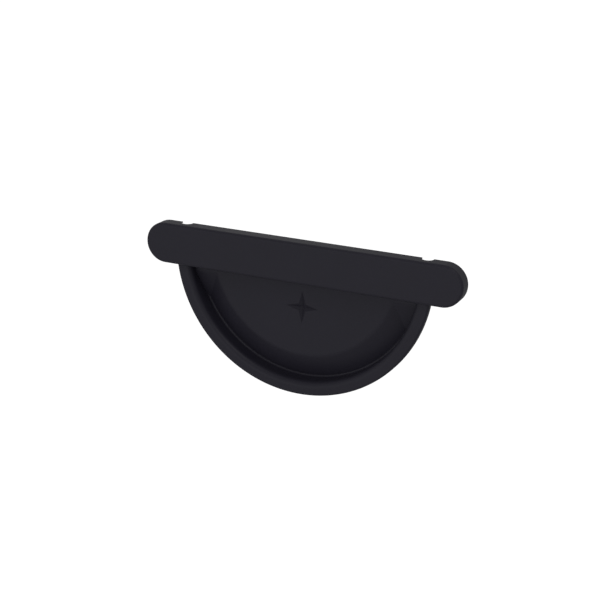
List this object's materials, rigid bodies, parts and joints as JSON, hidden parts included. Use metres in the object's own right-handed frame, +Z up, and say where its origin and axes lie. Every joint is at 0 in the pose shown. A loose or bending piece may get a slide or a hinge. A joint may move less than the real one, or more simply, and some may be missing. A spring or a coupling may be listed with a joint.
{
  "type": "gutter end cap",
  "caption": "Half-round gutter end cap pressed from one coated steel sheet: flat bar with round ears over a half disc with a ring, a groove and a raised panel.",
  "frame": {"origin": "centre of the gutter's half circle, in the plane that the gutter's cut end stops against", "axes": "+X along the bar, +Y into the gutter along its length, +Z up; the bar's face looks towards -Y"},
  "size_m": [0.161, 0.0119, 0.0754],
  "materials": {
    "coated_steel": "satin anthracite coil coating on steel sheet"
  },
  "bodies": {
    "root": {"end_cap": "coated_steel"}
  },
  "joints": []
}
